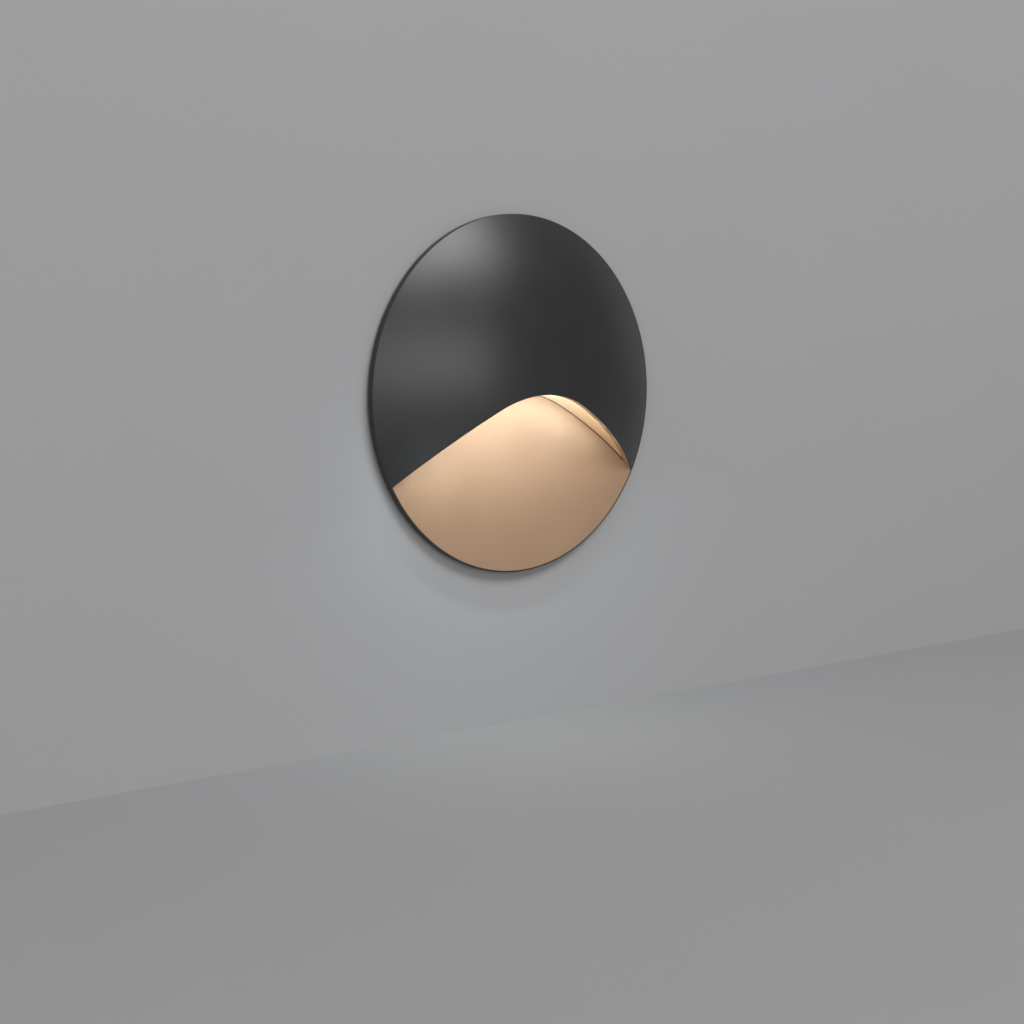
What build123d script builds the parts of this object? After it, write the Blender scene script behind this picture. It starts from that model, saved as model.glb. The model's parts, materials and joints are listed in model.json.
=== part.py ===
from build123d import *
import math
import os

# Round recessed wall light with a domed hood, in millimetres.
# X runs right, Y runs into the wall and Z runs up. The wall is the plane Y = 0.
# The origin is the centre of the disc's back face.

# Front disc and hood
disc_diameter = 80.0
rim_thickness = 1.9
rim_back_chamfer = 0.45
dome_rise = 9.9
hood_wall = 1.5
hood_boss_radius = 2.6
hood_screw_margin = 1.0
hood_screw_angles = (28.0, 90.0, 152.0)

# Arch along which the hood is cut, seen from the front
arch_apex_height = 0.2
arch_apex_radius = 25.7
arch_apex_half_angle = 27.2
arch_flank_radius = 106.8
arch_flank_sweep = 30.0

# Reflector plate let into the disc
plate_thickness = 0.4
plate_margin = 0.25
plate_clearance = 0.05
plate_reach = 0.1

# Diffuser under the hood's lip
diffuser_thickness = 2.0
diffuser_setback = 0.15
diffuser_half_width = 31.5
diffuser_clearance = 0.1
shadow_gap_height = 0.35
shadow_gap_depth = 0.7

# Collar that enters the wall, and the gasket around it
collar_diameter = 67.2
collar_wall = 7.0
collar_depth = 4.0
wall_gasket_width = 2.4
wall_gasket_thickness = 0.6
gasket_clearance = 0.05

# Housing
housing_gasket_thickness = 0.8
flange_setback = 0.4
flange_thickness = 2.4
clip_room = 7.6
can_wall = 2.0
housing_length = 35.2
fin_height = 5.5
fin_thickness = 1.5
fin_count = 7
fin_pitch = 10.0
fin_start = 2.4
boss_radius = 2.8
boss_inset = 1.6
boss_length = 14.0

# Screws
screw_radius = 1.2
screw_head_radius = 2.2
screw_head_height = 1.5
screw_socket_radius = 1.1
screw_socket_depth = 0.8
thread_clearance = 0.05
screw_clearance = 0.2
housing_screw_reach = 3.2
hood_screw_reach = 3.6
rear_screw_reach = 6.0
screw_end_room = 0.5

# LED board on its carrier
led_throw = 7.5
led_board_length = 30.0
led_board_width = 6.5
led_board_thickness = 1.0
led_count = 5
led_pitch = 4.0
led_size = 2.8
led_depth = 3.4
led_height = 0.7
carrier_sheet = 1.5
carrier_edge = 0.9
carrier_tip_gap = 0.6
carrier_screw_spacing = 20.0
carrier_screw_margin = 3.2
thermal_pad_thickness = 0.5
window_clearance = 1.2

# LED leads and their grommet
lead_radius = 0.7
lead_spacing = 2.0
lead_inset = 2.8
lead_height = 4.0
lead_bend = 3.0
lead_start = 4.8
lead_clearance = 0.05
grommet_wall = 0.9
grommet_lip = 0.8

# Driver. The shares are of the board's half width, from its middle
board_thickness = 1.6
board_height = -7.0
board_edge = 1.4
board_end_room = 3.6
board_front_gap = 0.2
rail_height = 4.4
rail_width = 1.8
slot_clearance = 0.1
choke_radius = 6.0
choke_height = 11.0
choke_end = 2.0
choke_waist = 5.0
choke_share = 0.44
capacitor_radius = 4.0
capacitor_height = 12.0
capacitor_share = 0.39
capacitor_spacing = 9.0
rectifier_size = (6.0, 4.4, 1.6)
rectifier_share = 0.09
terminal_length = 15.0
terminal_width = 8.0
terminal_height = 10.0
terminal_poles = 3
terminal_hole_radius = 1.3
terminal_screw_radius = 1.5
terminal_end_room = 1.0

# Rear cap
rear_seal_thickness = 0.8
rear_seal_width = 6.6
rear_cap_thickness = 2.5
rear_cap_chamfer = 0.6

# Cable gland
gland_flats = 15.0
gland_hex_height = 4.0
gland_shank_radius = 6.2
gland_shank_clearance = 0.15
gland_sleeve_radius = 5.8
gland_sleeve_length = 5.9
gland_throat_radius = 3.6
gland_seal_bore = 6.0
gland_seal_wall = 1.6
gland_seal_length = 9.0
gland_seal_clearance = 0.1
gland_washer_width = 1.7
gland_washer_thickness = 0.8
gland_nut_clearance = 0.1
gland_nut_gap = 0.3
gland_nut_wall = 2.2
gland_nut_round = 2.0
locknut_flats = 17.0
locknut_thickness = 3.0

# Spring clips
clip_pad_height = 1.5
clip_pad_width = 13.0
clip_pivot_depth = 24.0
clip_rest_angle = 68.0
bracket_sheet = 1.0
bracket_width = 12.0
bracket_front = 9.0
bracket_back = 3.5
ear_radius = 2.0
pin_radius = 1.0
pin_hole_clearance = 0.03
pin_running_clearance = 0.05
pin_head_radius = 1.6
pin_head_height = 0.6
clip_gap = 0.25
arm_sheet = 0.8
arm_length = 19.0
arm_side_gap = 0.4
knuckle_width = 1.9
toe_width = 0.9
toe_drop = 0.2
toe_gap = 0.05
wire_radius = 0.35
coil_clearance = 0.3
coil_turns = 3
coil_gap = 0.45
leg_length = 5.5
tip_length = 5.5
tip_wall = 0.9
tip_clearance = 0.03
clip_screw_radius = 0.9
clip_screw_head_radius = 1.7
clip_screw_spacing = 6.8
clip_screw_length = 3.2
clip_screw_offset = 5.6

# Values that follow from the ones above
disc_radius = disc_diameter / 2
dome_radius = (disc_radius**2 + dome_rise**2) / (2 * dome_rise)
dome_centre = dome_radius - dome_rise - rim_thickness
hood_inner_radius = dome_radius - hood_wall
hood_seat_radius = math.sqrt(hood_inner_radius**2 - (dome_centre + rim_thickness) ** 2)
collar_radius = collar_diameter / 2
collar_inner = collar_radius - collar_wall
hood_screw_circle = collar_inner - screw_head_radius - hood_screw_margin
wall_gasket_middle = (disc_radius + collar_radius) / 2
flange_front = collar_depth + housing_gasket_thickness
flange_back = flange_front + flange_thickness
flange_radius = collar_radius - flange_setback
can_radius = collar_radius - clip_room
can_inner = can_radius - can_wall
can_end = flange_front + housing_length
housing_screw_circle = (can_radius + flange_radius) / 2
housing_screw_angles = (45.0, 135.0, 225.0, 315.0)
rear_screw_circle = can_inner - boss_inset
cap_front = can_end + rear_seal_thickness
cap_back = cap_front + rear_cap_thickness
led_face = arch_apex_height + diffuser_setback + diffuser_thickness + led_throw
carrier_low = led_face + led_board_thickness
carrier_high = carrier_low + carrier_sheet
carrier_back = flange_front - thermal_pad_thickness
upright_half = carrier_screw_spacing / 2 + carrier_screw_margin
carrier_top = math.sqrt((collar_inner - carrier_edge) ** 2 - upright_half**2)
carrier_screw_height = (carrier_high + carrier_top) / 2
lead_middle = led_board_length / 2 - lead_inset
board_top = board_height + board_thickness / 2
board_front = flange_back + board_front_gap
board_back = can_end - board_end_room
board_half = math.sqrt(can_inner**2 - board_height**2) - board_edge
choke_x = terminal_x = -choke_share * board_half
capacitor_x = capacitor_share * board_half
rectifier_x = rectifier_share * board_half
terminal_back = board_back - terminal_end_room
terminal_front = terminal_back - terminal_width
terminal_y = terminal_back - terminal_width / 2
choke_y = (board_front + terminal_front) / 2
last_capacitor = terminal_back - capacitor_radius
first_capacitor = last_capacitor - capacitor_spacing
rectifier_y = (board_front + first_capacitor - capacitor_radius) / 2


def hood_inside(radius):
    # How far in front of the wall the hood's inner face is, at this distance from the axis
    return math.sqrt(hood_inner_radius**2 - radius**2) - dome_centre


carrier_tip = hood_inside(math.hypot(led_board_length / 2, carrier_high)) - carrier_tip_gap
led_middle = -carrier_tip + led_board_width / 2


def polar(radius, degrees):
    angle = math.radians(degrees)
    return radius * math.cos(angle), radius * math.sin(angle)


def bar(radius, start, end, place=(0.0, 0.0), mode=Mode.ADD):
    # A round bar along Y, at a place given as (x, z)
    with Locations((place[0], start, place[1])):
        Cylinder(
            radius,
            end - start,
            rotation=(-90, 0, 0),
            align=(Align.CENTER, Align.CENTER, Align.MIN),
            mode=mode,
        )


def block(low, high, mode=Mode.ADD):
    # A box between two opposite corners
    with Locations(tuple((a + b) / 2 for a, b in zip(low, high))):
        Box(*(b - a for a, b in zip(low, high)), mode=mode)


def hexagon(flats, start, end, mode=Mode.ADD):
    # A hexagonal bar along Y
    with BuildSketch(Plane.XZ.offset(-end)) as outline:
        RegularPolygon(flats / 2, 6, major_radius=False)
    extrude(outline.sketch, amount=end - start, mode=mode)


def below_arch(offset, mode=Mode.ADD):
    # The part of the front view that lies below the arch, with the arch moved out by the offset
    half = arch_apex_half_angle
    end = half + arch_flank_sweep
    reach = 2 * disc_radius
    apex_centre = (0.0, arch_apex_height - arch_apex_radius)
    slide = arch_flank_radius - arch_apex_radius
    flank_x = -slide * math.sin(math.radians(half))
    flank_z = apex_centre[1] - slide * math.cos(math.radians(half))
    with BuildLine() as outline:
        CenterArc(apex_centre, arch_apex_radius + offset, 90 - half, 2 * half)
        right = CenterArc((flank_x, flank_z), arch_flank_radius + offset, 90 - end, end - half)
        left = CenterArc((-flank_x, flank_z), arch_flank_radius + offset, 90 + half, end - half)
        Polyline(right @ 0, (reach, -reach), (-reach, -reach), left @ 1)
    make_face(outline.edges(), mode=mode)


def screw(place, seat, reach, direction, radius=screw_radius):
    # A pan head screw along Y. Its head lies on the seat, and its thread runs the way of the direction
    head = seat - direction * screw_head_height
    tip = seat + direction * reach
    bar(radius, min(seat, tip), max(seat, tip), place)
    bar(screw_head_radius, min(seat, head), max(seat, head), place)
    socket = head + direction * screw_socket_depth
    with BuildSketch(Plane.XZ.offset(-max(head, socket))) as outline:
        with Locations(place):
            RegularPolygon(screw_socket_radius, 6)
    extrude(outline.sketch, amount=screw_socket_depth, mode=Mode.SUBTRACT)


def save(part, name):
    part.label = name
    export_step(part, f"parts/{name}.step")


os.makedirs("parts", exist_ok=True)

# Hood: a spherical shell with screw bosses inside, cut along the arch
with BuildPart() as hood_bosses:
    for angle in hood_screw_angles:
        bar(hood_boss_radius, -disc_radius, -rim_thickness, polar(hood_screw_circle, angle))
    with Locations((0, dome_centre, 0)):
        Sphere(dome_radius - hood_wall / 2, mode=Mode.INTERSECT)

with BuildPart() as hood_shell:
    with BuildSketch(Plane.XY):
        with BuildLine():
            RadiusArc((disc_radius, -rim_thickness), (0, dome_centre - dome_radius), dome_radius)
            Line((0, dome_centre - dome_radius), (0, dome_centre - hood_inner_radius))
            RadiusArc((0, dome_centre - hood_inner_radius), (hood_seat_radius, -rim_thickness), -hood_inner_radius)
            Line((hood_seat_radius, -rim_thickness), (disc_radius, -rim_thickness))
        make_face()
    revolve(axis=Axis.Y)
    with BuildSketch(Plane.XZ):
        below_arch(0)
    extrude(amount=disc_radius, mode=Mode.SUBTRACT)
    add(hood_bosses.part)
    for angle in hood_screw_angles:
        tip = rim_thickness + hood_screw_reach + screw_end_room
        bar(screw_radius + thread_clearance, -tip, 0, polar(hood_screw_circle, angle), Mode.SUBTRACT)
save(hood_shell.part, "hood_shell")

# Face disc with its collar, the plate's recess, the gasket's groove and the light's window
with BuildPart() as face_disc:
    bar(disc_radius, -rim_thickness, 0)
    chamfer(face_disc.edges().sort_by(Axis.Y)[-1], rim_back_chamfer)
    bar(collar_radius, 0, collar_depth)
    bar(collar_inner, 0, collar_depth, mode=Mode.SUBTRACT)
    with BuildSketch(Plane.XZ.offset(rim_thickness)):
        Circle(disc_radius - plate_margin)
        below_arch(plate_reach + plate_clearance, Mode.INTERSECT)
    extrude(amount=-plate_thickness, mode=Mode.SUBTRACT)
    with BuildSketch(Plane.XZ):
        Circle(wall_gasket_middle + wall_gasket_width / 2)
        Circle(wall_gasket_middle - wall_gasket_width / 2, mode=Mode.SUBTRACT)
    extrude(amount=wall_gasket_thickness, mode=Mode.SUBTRACT)
    side = led_board_length / 2 + window_clearance
    block(
        (-side, -rim_thickness, lead_height - lead_radius - window_clearance),
        (side, 0, carrier_high + window_clearance),
        Mode.SUBTRACT,
    )
    for angle in hood_screw_angles:
        bar(screw_radius + screw_clearance, -rim_thickness, 0, polar(hood_screw_circle, angle), Mode.SUBTRACT)
    for angle in housing_screw_angles:
        start = collar_depth - housing_screw_reach - screw_end_room
        place = polar(housing_screw_circle, angle)
        bar(screw_radius + thread_clearance, start, collar_depth, place, Mode.SUBTRACT)
save(face_disc.part, "face_disc")

with BuildPart() as reflector_plate:
    with BuildSketch(Plane.XZ.offset(rim_thickness)):
        Circle(disc_radius - plate_margin - plate_clearance)
        below_arch(plate_reach, Mode.INTERSECT)
    extrude(amount=-plate_thickness)
save(reflector_plate.part, "reflector_plate")

# Diffuser: a band along the arch, up to the hood's inner face, with a rebate that forms the shadow gap
with BuildPart() as diffuser:
    with BuildSketch(Plane.XZ.offset(rim_thickness)):
        Rectangle(2 * diffuser_half_width, 2 * disc_radius)
        below_arch(diffuser_setback + diffuser_thickness, Mode.INTERSECT)
        below_arch(diffuser_setback, Mode.SUBTRACT)
    extrude(amount=disc_radius)
    with Locations((0, dome_centre, 0)):
        Sphere(hood_inner_radius - diffuser_clearance, mode=Mode.INTERSECT)
    with BuildSketch(Plane.XZ.offset(rim_thickness)):
        below_arch(diffuser_setback + shadow_gap_depth)
    extrude(amount=shadow_gap_height, mode=Mode.SUBTRACT)
save(diffuser.part, "diffuser")

with BuildPart() as hood_screws:
    for angle in hood_screw_angles:
        screw(polar(hood_screw_circle, angle), 0, rim_thickness + hood_screw_reach, -1)
save(hood_screws.part, "hood_screws")

with BuildPart() as wall_gasket:
    with BuildSketch(Plane.XZ):
        Circle(wall_gasket_middle + wall_gasket_width / 2 - gasket_clearance)
        Circle(wall_gasket_middle - wall_gasket_width / 2 + gasket_clearance, mode=Mode.SUBTRACT)
    extrude(amount=wall_gasket_thickness)
save(wall_gasket.part, "wall_gasket")

# LED carrier: a bent bracket that reaches from the housing forward under the hood
carrier_places = [(sign * carrier_screw_spacing / 2, carrier_screw_height) for sign in (-1, 1)]
half = led_board_length / 2
with BuildPart() as led_carrier:
    block((-half, -carrier_tip, carrier_low), (half, carrier_back, carrier_high))
    block(
        (-upright_half, carrier_back - carrier_sheet, carrier_low),
        (upright_half, carrier_back, carrier_top),
    )
    for place in carrier_places:
        bar(screw_radius + screw_clearance, 0, carrier_back, place, Mode.SUBTRACT)
save(led_carrier.part, "led_carrier")

with BuildPart() as thermal_pad:
    block((-upright_half, carrier_back, carrier_low), (upright_half, flange_front, carrier_top))
    for place in carrier_places:
        bar(screw_radius + screw_clearance, 0, flange_front, place, Mode.SUBTRACT)
save(thermal_pad.part, "thermal_pad")

with BuildPart() as led_board:
    block((-half, -carrier_tip, led_face), (half, led_board_width - carrier_tip, carrier_low))
save(led_board.part, "led_board")

with BuildPart() as led_chips:
    for index in range(led_count):
        x = (index - (led_count - 1) / 2) * led_pitch
        block(
            (x - led_size / 2, led_middle - led_depth / 2, led_face - led_height),
            (x + led_size / 2, led_middle + led_depth / 2, led_face),
        )
save(led_chips.part, "led_chips")

with BuildPart() as carrier_screws:
    for place in carrier_places:
        screw(place, carrier_back - carrier_sheet, flange_back - carrier_back + carrier_sheet, 1)
save(carrier_screws.part, "carrier_screws")

# LED leads: from the driver board up, through the housing's front wall, and up to the LED board
lead_places = [lead_middle + sign * lead_spacing / 2 for sign in (-1, 1)]
lead_depth = board_front + lead_start


def lead(x):
    with BuildPart() as wire:
        with BuildLine() as path:
            FilletPolyline(
                (x, lead_depth, board_top),
                (x, lead_depth, lead_height),
                (x, led_middle, lead_height),
                (x, led_middle, led_face),
                radius=lead_bend,
            )
        with BuildSketch(Plane((x, lead_depth, board_top), z_dir=(0, 0, 1))):
            Circle(lead_radius)
        sweep(path=path.line)
    return wire.part


with BuildPart() as led_leads:
    for x in lead_places:
        add(lead(x))
save(led_leads.part, "led_leads")

grommet_radius = lead_radius + grommet_wall


def lead_slot(radius, start, end, mode=Mode.ADD):
    # A bar with a slot's outline around both leads
    with BuildSketch(Plane.XZ.offset(-end)) as outline:
        with Locations((lead_middle, lead_height)):
            SlotCenterToCenter(lead_spacing, 2 * radius)
    extrude(outline.sketch, amount=end - start, mode=mode)


with BuildPart() as lead_grommet:
    lead_slot(grommet_radius, flange_front, flange_back)
    lead_slot(grommet_radius + grommet_lip, flange_front - grommet_lip, flange_front)
    lead_slot(grommet_radius + grommet_lip, flange_back, flange_back + grommet_lip)
    for x in lead_places:
        start = flange_front - grommet_lip
        bar(lead_radius + lead_clearance, start, flange_back + grommet_lip, (x, lead_height), Mode.SUBTRACT)
save(lead_grommet.part, "lead_grommet")

# Housing: flange, front wall, can, fins, screw bosses, board rails and clip seats, in one casting
pad_face = can_radius + clip_pad_height
bracket_face = pad_face + bracket_sheet
coil_radius = pin_radius + coil_clearance + wire_radius
pivot_x = bracket_face + clip_gap + coil_radius + wire_radius
pivot = (pivot_x, clip_pivot_depth)
clip_screw_depth = clip_pivot_depth - clip_screw_offset
clip_screw_places = [(clip_screw_depth, sign * clip_screw_spacing / 2) for sign in (-1, 1)]


def cone_x(base, top, start, end, place, mode=Mode.ADD):
    # A cone along X from the start to the end, at a place given as (y, z)
    with Locations((start, place[0], place[1])):
        Cone(
            base,
            top,
            end - start,
            rotation=(0, 90, 0),
            align=(Align.CENTER, Align.CENTER, Align.MIN),
            mode=mode,
        )


def bar_x(radius, start, end, place, mode=Mode.ADD):
    # A round bar along X, at a place given as (y, z)
    with Locations((start, place[0], place[1])):
        Cylinder(
            radius,
            end - start,
            rotation=(0, 90, 0),
            align=(Align.CENTER, Align.CENTER, Align.MIN),
            mode=mode,
        )


def bar_z(radius, low, high, mode=Mode.ADD):
    # A round bar along the clip's pivot
    with Locations((pivot[0], pivot[1], low)):
        Cylinder(radius, high - low, align=(Align.CENTER, Align.CENTER, Align.MIN), mode=mode)


with BuildPart() as clip_seat:
    block(
        (can_radius - can_wall / 2, flange_back, -clip_pad_width / 2),
        (pad_face, clip_pivot_depth + bracket_back + 1, clip_pad_width / 2),
    )

with BuildPart() as clip_holes:
    for place in clip_screw_places:
        start = bracket_face - clip_screw_length - screw_end_room
        bar_x(clip_screw_radius + thread_clearance, start, pad_face, place)

with BuildPart() as housing:
    bar(flange_radius, flange_front, flange_back)
    bar(can_radius, flange_back, can_end)
    with BuildSketch(Plane.XZ.offset(-can_end)):
        spread = fin_pitch * (fin_count - 1)
        for middle in (90, 270):
            with PolarLocations(can_radius, fin_count, middle - spread / 2, spread, endpoint=True):
                Rectangle(2 * fin_height, fin_thickness)
    extrude(amount=can_end - flange_back - fin_start)
    bar(can_inner, flange_back, can_end, mode=Mode.SUBTRACT)
    add(clip_seat.part)
    add(mirror(clip_seat.part, about=Plane.YZ))
    with BuildSketch(Plane.XZ.offset(-board_back)):
        with Locations((0, board_height)):
            Rectangle(4 * can_radius, rail_height)
        Circle(can_inner + can_wall / 2, mode=Mode.INTERSECT)
        with Locations((0, board_height)):
            Rectangle(2 * (board_half - rail_width), rail_height, mode=Mode.SUBTRACT)
            Rectangle(
                2 * (board_half + slot_clearance),
                board_thickness + 2 * slot_clearance,
                mode=Mode.SUBTRACT,
            )
    extrude(amount=board_back - flange_back)
    for angle in housing_screw_angles:
        place = polar(rear_screw_circle, angle)
        bar(boss_radius, can_end - boss_length, can_end, place)
        start = can_end - rear_screw_reach - screw_end_room
        bar(screw_radius + thread_clearance, start, can_end, place, Mode.SUBTRACT)
        place = polar(housing_screw_circle, angle)
        bar(screw_radius + screw_clearance, flange_front, flange_back, place, Mode.SUBTRACT)
    for place in carrier_places:
        bar(screw_radius + thread_clearance, flange_front, flange_back, place, Mode.SUBTRACT)
    lead_slot(grommet_radius + lead_clearance, flange_front, flange_back, Mode.SUBTRACT)
    add(clip_holes.part, mode=Mode.SUBTRACT)
    add(mirror(clip_holes.part, about=Plane.YZ), mode=Mode.SUBTRACT)
save(housing.part, "housing")

with BuildPart() as housing_gasket:
    bar(flange_radius, collar_depth, flange_front)
    bar(collar_inner, collar_depth, flange_front, mode=Mode.SUBTRACT)
    for angle in housing_screw_angles:
        place = polar(housing_screw_circle, angle)
        bar(screw_radius + screw_clearance, collar_depth, flange_front, place, Mode.SUBTRACT)
save(housing_gasket.part, "housing_gasket")

with BuildPart() as housing_screws:
    for angle in housing_screw_angles:
        reach = flange_back - collar_depth + housing_screw_reach
        screw(polar(housing_screw_circle, angle), flange_back, reach, -1)
save(housing_screws.part, "housing_screws")

# Driver board in the rails, and what stands on it
with BuildPart() as driver_board:
    block(
        (-board_half, board_front, board_height - board_thickness / 2),
        (board_half, board_back, board_top),
    )
save(driver_board.part, "driver_board")

with BuildPart() as driver_choke:
    with Locations((choke_x, choke_y, board_top)):
        Cylinder(choke_waist, choke_height, align=(Align.CENTER, Align.CENTER, Align.MIN))
        Cylinder(choke_radius, choke_end, align=(Align.CENTER, Align.CENTER, Align.MIN))
    with Locations((choke_x, choke_y, board_top + choke_height)):
        Cylinder(choke_radius, choke_end, align=(Align.CENTER, Align.CENTER, Align.MAX))
save(driver_choke.part, "driver_choke")

with BuildPart() as driver_capacitors:
    for y in (first_capacitor, last_capacitor):
        with Locations((capacitor_x, y, board_top)):
            Cylinder(capacitor_radius, capacitor_height, align=(Align.CENTER, Align.CENTER, Align.MIN))
    fillet(driver_capacitors.edges().group_by(Axis.Z)[-1], radius=capacitor_radius / 6)
save(driver_capacitors.part, "driver_capacitors")

with BuildPart() as driver_rectifier:
    with Locations((rectifier_x, rectifier_y, board_top)):
        Box(*rectifier_size, align=(Align.CENTER, Align.CENTER, Align.MIN))
save(driver_rectifier.part, "driver_rectifier")

terminal_top = board_top + terminal_height
pole_pitch = terminal_length / terminal_poles
pole_places = [terminal_x + (i - (terminal_poles - 1) / 2) * pole_pitch for i in range(terminal_poles)]
screw_well = terminal_height / 3
with BuildPart() as terminal_block:
    with Locations((terminal_x, terminal_y, board_top)):
        Box(terminal_length, terminal_width, terminal_height, align=(Align.CENTER, Align.CENTER, Align.MIN))
    for x in pole_places:
        bar(
            terminal_hole_radius,
            terminal_y,
            terminal_back,
            (x, board_top + terminal_height / 3),
            Mode.SUBTRACT,
        )
        with Locations((x, terminal_y, terminal_top)):
            Cylinder(
                terminal_screw_radius + thread_clearance,
                screw_well,
                align=(Align.CENTER, Align.CENTER, Align.MAX),
                mode=Mode.SUBTRACT,
            )
save(terminal_block.part, "terminal_block")

with BuildPart() as terminal_screws:
    for x in pole_places:
        with Locations((x, terminal_y, terminal_top - screw_well)):
            Cylinder(terminal_screw_radius, screw_well / 2, align=(Align.CENTER, Align.CENTER, Align.MIN))
        with Locations((x, terminal_y, terminal_top - screw_well / 2)):
            Box(
                2 * terminal_screw_radius,
                terminal_screw_radius / 3,
                screw_well / 6,
                align=(Align.CENTER, Align.CENTER, Align.MAX),
                mode=Mode.SUBTRACT,
            )
save(terminal_screws.part, "terminal_screws")

# Rear cap on its flat seal
with BuildPart() as rear_seal:
    bar(can_radius, can_end, cap_front)
    bar(can_radius - rear_seal_width, can_end, cap_front, mode=Mode.SUBTRACT)
    for angle in housing_screw_angles:
        place = polar(rear_screw_circle, angle)
        bar(screw_radius + screw_clearance, can_end, cap_front, place, Mode.SUBTRACT)
save(rear_seal.part, "rear_seal")

with BuildPart() as rear_cap:
    bar(can_radius, cap_front, cap_back)
    chamfer(rear_cap.edges().group_by(Axis.Y)[-1], length=rear_cap_chamfer)
    bar(gland_shank_radius + gland_shank_clearance, cap_front, cap_back, mode=Mode.SUBTRACT)
    for angle in housing_screw_angles:
        place = polar(rear_screw_circle, angle)
        bar(screw_radius + screw_clearance, cap_front, cap_back, place, Mode.SUBTRACT)
save(rear_cap.part, "rear_cap")

with BuildPart() as rear_cap_screws:
    for angle in housing_screw_angles:
        reach = cap_back - can_end + rear_screw_reach
        screw(polar(rear_screw_circle, angle), cap_back, reach, -1)
save(rear_cap_screws.part, "rear_cap_screws")

# Cable gland in the middle of the rear cap
hex_front = cap_back + gland_washer_thickness
hex_back = hex_front + gland_hex_height
sleeve_end = hex_back + gland_sleeve_length
seal_radius = gland_seal_bore / 2 + gland_seal_wall
seal_start = hex_front + gland_hex_height / 2
seal_end = seal_start + gland_seal_length
shank_end = cap_front - locknut_thickness - screw_end_room
nut_floor = max(seal_end, sleeve_end) + gland_nut_gap
nut_end = nut_floor + gland_nut_wall

with BuildPart() as gland_body:
    hexagon(gland_flats, hex_front, hex_back)
    bar(gland_shank_radius, shank_end, hex_front)
    bar(gland_sleeve_radius, hex_back, sleeve_end)
    bar(gland_throat_radius, shank_end, sleeve_end, mode=Mode.SUBTRACT)
    bar(seal_radius + gland_seal_clearance, seal_start, sleeve_end, mode=Mode.SUBTRACT)
save(gland_body.part, "gland_body")

with BuildPart() as gland_washer:
    bar(gland_shank_radius + gland_washer_width, cap_back, hex_front)
    bar(gland_shank_radius + gland_shank_clearance, cap_back, hex_front, mode=Mode.SUBTRACT)
save(gland_washer.part, "gland_washer")

with BuildPart() as gland_locknut:
    hexagon(locknut_flats, cap_front - locknut_thickness, cap_front)
    bar(gland_shank_radius + thread_clearance, cap_front - locknut_thickness, cap_front, mode=Mode.SUBTRACT)
save(gland_locknut.part, "gland_locknut")

with BuildPart() as gland_seal:
    bar(seal_radius, seal_start, seal_end)
    bar(gland_seal_bore / 2, seal_start, seal_end, mode=Mode.SUBTRACT)
save(gland_seal.part, "gland_seal")

with BuildPart() as gland_nut:
    hexagon(gland_flats, hex_back + gland_nut_gap, nut_floor - gland_nut_gap)
    bar(gland_flats / 2 - gland_nut_gap, nut_floor - gland_nut_gap, nut_end)
    fillet(gland_nut.edges().group_by(Axis.Y)[-1], radius=gland_nut_round)
    start = hex_back + gland_nut_gap
    bar(gland_sleeve_radius + gland_nut_clearance, start, nut_floor, mode=Mode.SUBTRACT)
    bar(gland_throat_radius, start, nut_end, mode=Mode.SUBTRACT)
save(gland_nut.part, "gland_nut")

# Spring clips. The right one is drawn and the left one is its mirror image
ear_high = bracket_width / 2
ear_low = ear_high - bracket_sheet
arm_half = ear_low - arm_side_gap
knuckle_low = arm_half - knuckle_width
knuckle_radius = pin_radius + pin_running_clearance + arm_sheet
arm_high = coil_radius - wire_radius - clip_gap
arm_low = arm_high - arm_sheet
coil_outer = coil_radius + wire_radius
rest = math.radians(clip_rest_angle)
arm_way = (math.cos(rest), -math.sin(rest), 0)


def save_pair(part, name):
    save(part, "right_" + name)
    save(mirror(part, about=Plane.YZ), "left_" + name)


def clip_screw_hole(place, clearance, mode=Mode.SUBTRACT):
    # A countersunk screw's own form along X, made larger by the clearance for its hole
    neck = clip_screw_radius + clearance
    start = bracket_face - bracket_sheet
    cone_x(neck, clip_screw_head_radius + clearance, start, bracket_face, place, mode)


with BuildPart() as clip_bracket:
    block(
        (pad_face, clip_pivot_depth - bracket_front, -bracket_width / 2),
        (bracket_face, clip_pivot_depth + bracket_back, bracket_width / 2),
    )
    for low, high in ((-ear_high, -ear_low), (ear_low, ear_high)):
        block(
            (pad_face, clip_pivot_depth - ear_radius, low),
            (pivot_x, clip_pivot_depth + ear_radius, high),
        )
        bar_z(ear_radius, low, high)
    bar_z(pin_radius + pin_hole_clearance, -ear_high, ear_high, Mode.SUBTRACT)
    for place in clip_screw_places:
        clip_screw_hole(place, thread_clearance)
save_pair(clip_bracket.part, "clip_bracket")

with BuildPart() as clip_pin:
    bar_z(pin_radius, -ear_high, ear_high)
    bar_z(pin_head_radius, ear_high, ear_high + pin_head_height)
    bar_z(pin_head_radius, -ear_high - pin_head_height, -ear_high)
save_pair(clip_pin.part, "clip_pin")


def arm_block(start, end, low, high, half_width, mode=Mode.ADD):
    # A box along the arm: start to end from the pivot, low to high across the sheet
    plane = Plane((pivot_x, clip_pivot_depth, -half_width), x_dir=arm_way, z_dir=(0, 0, 1))
    with BuildSketch(plane) as outline:
        with Locations(((start + end) / 2, (low + high) / 2)):
            Rectangle(end - start, high - low)
    extrude(outline.sketch, amount=2 * half_width, mode=mode)


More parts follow.
